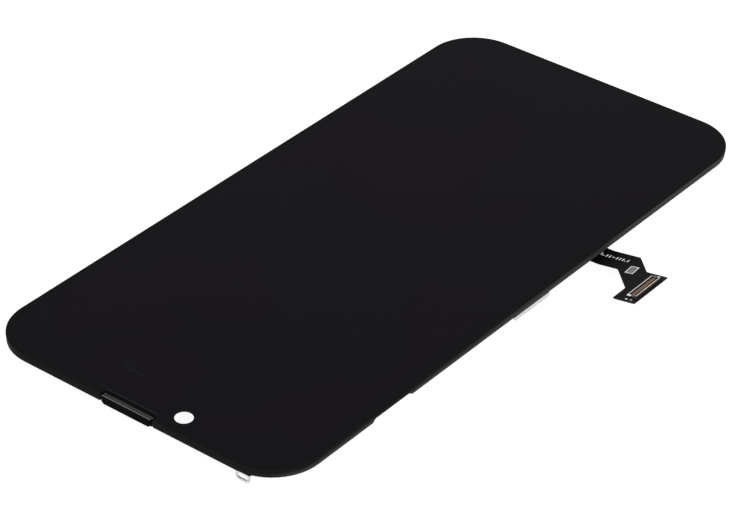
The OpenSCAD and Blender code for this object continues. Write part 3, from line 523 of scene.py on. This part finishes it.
# Finish of each material slot of the record
FINISHES = {
    "cover_glass": black_glass(),
    "clear_adhesive": clear_sheet("clear adhesive", (0.8, 0.83, 0.85), 0.5),
    "polariser": plastic("polariser film", (0.02, 0.02, 0.024), roughness=0.3, grain=4.0, bump=0.03),
    "cell_glass": clear_sheet("cell glass", (0.3, 0.36, 0.38), 0.65, roughness=0.08),
    "optical_film": plastic("optical film", (0.78, 0.8, 0.82), roughness=0.35, grain=14.0, bump=0.05,
                            spread=0.04, edge_light=1.05),
    "light_guide": clear_sheet("light guide", (0.75, 0.82, 0.84), 0.7, roughness=0.1),
    "reflector": plastic("reflector film", (0.82, 0.83, 0.84), roughness=0.25, grain=6.0, bump=0.04,
                         spread=0.03, edge_light=1.05),
    "white_plastic": plastic("white moulded plastic", (0.78, 0.78, 0.75), roughness=0.5, spread=0.04,
                             edge_light=1.08),
    "led_board": plastic("white circuit strip", (0.72, 0.68, 0.5), roughness=0.4, spread=0.06,
                         edge_light=1.05),
    "led": plastic("diode phosphor", (0.85, 0.72, 0.2), roughness=0.35, grain=20.0, spread=0.1,
                   edge_light=1.1),
    "steel": metal("rolled steel", (0.36, 0.36, 0.37), roughness=0.38, stretch=(9.0, 0.35, 9.0),
                   spread=0.14),
    "latch_steel": metal("bright stamped steel", (0.66, 0.65, 0.645), roughness=0.3,
                         stretch=(2.0, 2.0, 14.0), spread=0.08, layers=LATCH_PAINTED_SHADE),
    # the mesh's dark base colour is painted shade from the glass over it
    "mesh_steel": plastic("mesh with painted shade and lit band", (0.004, 0.004, 0.0045), roughness=0.5, specular=0.1, grain=14.0,
                          bump=0.3, spread=0.3, edge_light=1.4, edge_radius=0.03, layers=MESH_PAINTED_LIGHT_AND_HOLES),
    "felt": plastic("black felt", (0.006, 0.006, 0.006), roughness=1.0, specular=0.02, grain=16.0, bump=0.6,
                    spread=0.5),
    # black bezel plastic, with painted light and shade on its long sides and its earpiece wall
    "bezel_plastic": plastic("black bezel plastic", (0.0158, 0.0158, 0.0161), roughness=0.46, specular=0.015,
                             grain=10.0, bump=0.2, spread=0.2, edge_light=1.3, edge_radius=0.12,
                             layers=BEZEL_PAINTED_LIGHT_AND_SHADE),
    "adhesive": plastic("black adhesive", (0.008, 0.008, 0.008), roughness=0.7, specular=0.2, spread=0.3),
    "foam": plastic("black foam", (0.022, 0.022, 0.022), roughness=0.95, specular=0.1, grain=5.0, bump=0.8,
                    spread=0.5),
    "graphite": plastic("graphite film", (0.035, 0.035, 0.038), roughness=0.42, specular=0.5, grain=2.5,
                        bump=0.25, spread=0.3, edge_light=1.6),
    "chip": plastic("silicon chip", (0.05, 0.05, 0.055), roughness=0.2, grain=3.0, bump=0.02, spread=0.1),
    "flex": plastic("black coverlay", (0.0068, 0.0064, 0.0064), roughness=0.45, specular=0.02, grain=7.0,
                    bump=0.1, spread=0.2, edge_light=1.3, edge_radius=0.04, layers=FLEX_PAINTED_LIGHT_AND_SHADE),
    "stiffener": metal("stiffener steel", (0.5, 0.5, 0.48), roughness=0.35),
    "connector_plastic": plastic("connector housing", (0.016, 0.0125, 0.0115), roughness=0.4, specular=0.3,
                                 spread=0.2, edge_radius=0.02),
    # tin plating: its dark base colour is painted shade, with lit strips of bright tin
    "tinned": metal("tin plating with painted shade", (0.035, 0.028, 0.026), roughness=0.28, stretch=(6.0, 6.0, 6.0),
                    spread=0.1, edge_radius=0.02, layers=SHELL_LIT_STRIPS),
    # gold plating: its dark base colour is painted shade, with a lit stripe of gold
    "gold": metal("gold plating with painted shade", (0.07, 0.055, 0.05), roughness=0.3, stretch=(8.0, 8.0, 8.0), spread=0.18,
                  edge_radius=0.01, layers=CONTACT_LIT_STRIPE),
}
WHITE_INK = plastic("white ink", (0.8, 0.8, 0.8), roughness=0.6, grain=12.0, spread=0.08, edge_light=1.0,
                    edge_radius=0.01)
GREY_INK = plastic("grey ink", (0.16, 0.16, 0.16), roughness=0.6, grain=6.0, spread=0.5, edge_light=1.0,
                   edge_radius=0.01)
SOLDER = metal("solder", (0.96, 0.96, 0.96), roughness=0.35, stretch=(9.0, 9.0, 9.0), spread=0.05,
               edge_radius=0.02)

for part in frame["record"]["subparts"]:
    shown = frame["nodes"][part["node"]]
    shown.data.materials.clear()
    shown.data.materials.append(FINISHES[part["material_slot"]])


# Pieces that lie on the flex

def ribbon_height(x):
    """Height of the flex's upper side at x, over the flat ribbon, the bend and the straight tail."""
    run = -x - (GLASS_HALF_WIDTH + TAIL_START) + TAIL_BEND * math.tan(TAIL_ANGLE / 2)
    radius = TAIL_BEND - FLEX_THICKNESS / 2
    bend_run = radius * math.sin(TAIL_ANGLE)
    if run <= 0:
        return RIBBON_TOP
    if run < bend_run:
        return RIBBON_TOP + radius * (1 - math.cos(math.asin(run / radius)))
    return RIBBON_TOP + radius * (1 - math.cos(TAIL_ANGLE)) + (run - bend_run) * math.tan(TAIL_ANGLE)


def flat_prisms(name, outlines, height, material):
    """One piece of thin closed prisms on the flex; each outline is a counter-clockwise ring of points."""
    points, faces = [], []
    for ring in outlines:
        base = len(points)
        count = len(ring)
        for lift in (-SINK, height):
            points += [(x * MM, y * MM, (ribbon_height(x) + lift) * MM) for x, y in ring]
        faces.append([base + count + i for i in range(count)])
        faces.append([base + i for i in reversed(range(count))])
        faces += [[base + i, base + (i + 1) % count, base + count + (i + 1) % count, base + count + i]
                  for i in range(count)]
    mesh = bpy.data.meshes.new(name)
    mesh.from_pydata(points, [], faces)
    mesh.materials.append(material)
    piece = bpy.data.objects.new(name, mesh)
    bpy.context.scene.collection.objects.link(piece)
    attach(piece, BODY)


def turned(centre, turn, x, y):
    """The point x, y of a figure that is turned about its own middle and then put at the centre."""
    c, s = math.cos(turn), math.sin(turn)
    return centre[0] + c * x - s * y, centre[1] + s * x + c * y


def bar(centre, half, turn=0.0):
    return [turned(centre, turn, x * half[0], y * half[1]) for x, y in ((-1, -1), (1, -1), (1, 1), (-1, 1))]


def disc(centre, radius, count=16):
    angles = [math.tau * i / count for i in range(count)]
    return [(centre[0] + radius * math.cos(angle), centre[1] + radius * math.sin(angle)) for angle in angles]


# How deep print and solder sink into the flex and how high they stand on it, in millimetres
SINK = 0.01
INK_HEIGHT = 0.015
FIELD_HEIGHT = 0.012
SOLDER_HEIGHT = 0.11

# Row of plain ticks along the ribbon
TICK_Y = -22.3
TICK_RAISED_Y = TICK_Y + 0.3
TICK_HALF = (0.12, 0.42)
ticks = [bar((x, TICK_Y), TICK_HALF) for x in (-34.5, -35.7, -36.35, -37.95, -38.6, -39.25, -40.35)]
ticks += [bar((-35.0, TICK_RAISED_Y), (0.3, 0.11)), bar((-37.1, TICK_Y), (0.32, 0.11))]
ticks.append(disc((-39.75, TICK_RAISED_Y), 0.13))

# Plain frame with a blank field on the neck; a line of the frame is twice FRAME_LINE wide
FRAME_CENTRE = (-42.92, -19.73)
FRAME_HALF = (0.86, 1.31)
FRAME_TURN = math.radians(4.0)
FRAME_LINE = 0.11
FIELD_HALF = (0.5, 0.95)
frame_lines = []
for side in (-1, 1):
    long_line = turned(FRAME_CENTRE, FRAME_TURN, side * (FRAME_HALF[0] - FRAME_LINE), 0)
    short_line = turned(FRAME_CENTRE, FRAME_TURN, 0, side * (FRAME_HALF[1] - FRAME_LINE))
    frame_lines.append(bar(long_line, (FRAME_LINE, FRAME_HALF[1]), FRAME_TURN))
    frame_lines.append(bar(short_line, (FRAME_HALF[0] - 2 * FRAME_LINE, FRAME_LINE), FRAME_TURN))

# Solder on the shell's hold-downs: the middle and radius of each dot
SOLDER_DOTS = [((-48.2, -10.1), 0.27), ((-49.15, -10.15), 0.26), ((-48.3, -19.55), 0.17),
               ((-49.1, -19.55), 0.22)]

flat_prisms("flex_ticks", ticks + frame_lines, INK_HEIGHT, WHITE_INK)
flat_prisms("flex_blank_field", [bar(FRAME_CENTRE, FIELD_HALF, FRAME_TURN)], FIELD_HEIGHT, GREY_INK)
flat_prisms("foot_dots", [disc(*dot) for dot in SOLDER_DOTS], SOLDER_HEIGHT, SOLDER)


# Floor, light and camera

FLOOR_SIZE = 6.0
FLOOR_GAP = 0.05 * MM
FLOOR_TONE = 0.8
FLOOR_SHADE = 0.2
FLOOR_GLOW = 0.95
SKY_LIGHT = 0.6
SKY_WHITE = 1.0

# The photograph's camera: its place in millimetres, its directions and its lens
CAMERA_SPOT = (-288.0, 377.267, 314.852)
CAMERA_AHEAD = (0.508691, -0.656537, -0.55695)
CAMERA_UPWARD = (0.356655, -0.428087, 0.830384)
CAMERA_LENS = 149.03
CAMERA_SENSOR = 36.0


def seen_directly(tree):
    """1 for the rays that show the background: from the camera, off gloss and through what is clear."""
    path = node(tree, "ShaderNodeLightPath").outputs
    glossy = math_node(tree, "MAXIMUM", path["Is Glossy Ray"], path["Is Transmission Ray"])
    return math_node(tree, "MAXIMUM", path["Is Camera Ray"], glossy)


def grey(level):
    return (level, level, level, 1.0)


def make_floor():
    """Pale floor that glows nearly white for the camera and keeps the object's shadow."""
    half = FLOOR_SIZE / 2
    low = cad_box[0][2] - FLOOR_GAP
    corners = [(-half, -half, low), (half, -half, low), (half, half, low), (-half, half, low)]
    mesh = bpy.data.meshes.new("floor")
    mesh.from_pydata(corners, [], [[0, 1, 2, 3]])
    floor = bpy.data.objects.new("floor", mesh)
    bpy.context.scene.collection.objects.link(floor)
    material = bpy.data.materials.new("white floor")
    material.use_nodes = True
    tree = material.node_tree
    tree.nodes.clear()
    plain = node(tree, "ShaderNodeBsdfDiffuse", {"Color": grey(FLOOR_TONE)}).outputs[0]
    shadow = node(tree, "ShaderNodeBsdfDiffuse", {"Color": grey(FLOOR_SHADE)}).outputs[0]
    glow = node(tree, "ShaderNodeEmission", {"Strength": FLOOR_GLOW}).outputs[0]
    shown_floor = node(tree, "ShaderNodeAddShader", {0: shadow, 1: glow}).outputs[0]
    mixed = node(tree, "ShaderNodeMixShader", {0: seen_directly(tree), 1: plain, 2: shown_floor}).outputs[0]
    node(tree, "ShaderNodeOutputMaterial", {"Surface": mixed})
    floor.data.materials.append(material)


def make_world():
    """Soft even light from all round, and plain white where the background is seen."""
    world = bpy.data.worlds.new("studio")
    bpy.context.scene.world = world
    world.use_nodes = True
    tree = world.node_tree
    tree.nodes.clear()
    soft, white = (node(tree, "ShaderNodeBackground", {"Color": grey(1.0), "Strength": strength}).outputs[0]
                   for strength in (SKY_LIGHT, SKY_WHITE))
    mixed = node(tree, "ShaderNodeMixShader", {0: seen_directly(tree), 1: soft, 2: white}).outputs[0]
    node(tree, "ShaderNodeOutputWorld", {"Surface": mixed})


def make_lamp(name, location, size, watts):
    """Square softbox that looks at the middle of the object, with its place and size in metres."""
    light = bpy.data.lights.new(name, "AREA")
    light.shape = "SQUARE"
    light.size = size
    light.energy = watts
    lamp = bpy.data.objects.new(name, light)
    lamp.location = location
    lamp.rotation_euler = (-Vector(location)).to_track_quat("-Z", "Y").to_euler()
    bpy.context.scene.collection.objects.link(lamp)


def make_camera():
    ahead = Vector(CAMERA_AHEAD).normalized()
    right = ahead.cross(Vector(CAMERA_UPWARD)).normalized()
    upward = right.cross(ahead)
    lens = bpy.data.cameras.new("camera")
    lens.sensor_fit = "HORIZONTAL"
    lens.sensor_width = CAMERA_SENSOR
    lens.lens = CAMERA_LENS
    lens.clip_start = 0.01
    camera = bpy.data.objects.new("camera", lens)
    turn = Matrix((right, upward, -ahead)).transposed().to_4x4()
    camera.matrix_world = Matrix.Translation(Vector(CAMERA_SPOT) * MM) @ turn
    bpy.context.scene.collection.objects.link(camera)
    bpy.context.scene.camera = camera


make_floor()
make_world()
make_lamp("side softbox", location=(-0.75, 0.1, 0.5), size=0.7, watts=2.6)
make_lamp("top softbox", location=(0.2, -0.3, 1.0), size=0.9, watts=2.0)
make_camera()
bpy.context.scene.view_settings.view_transform = "Standard"
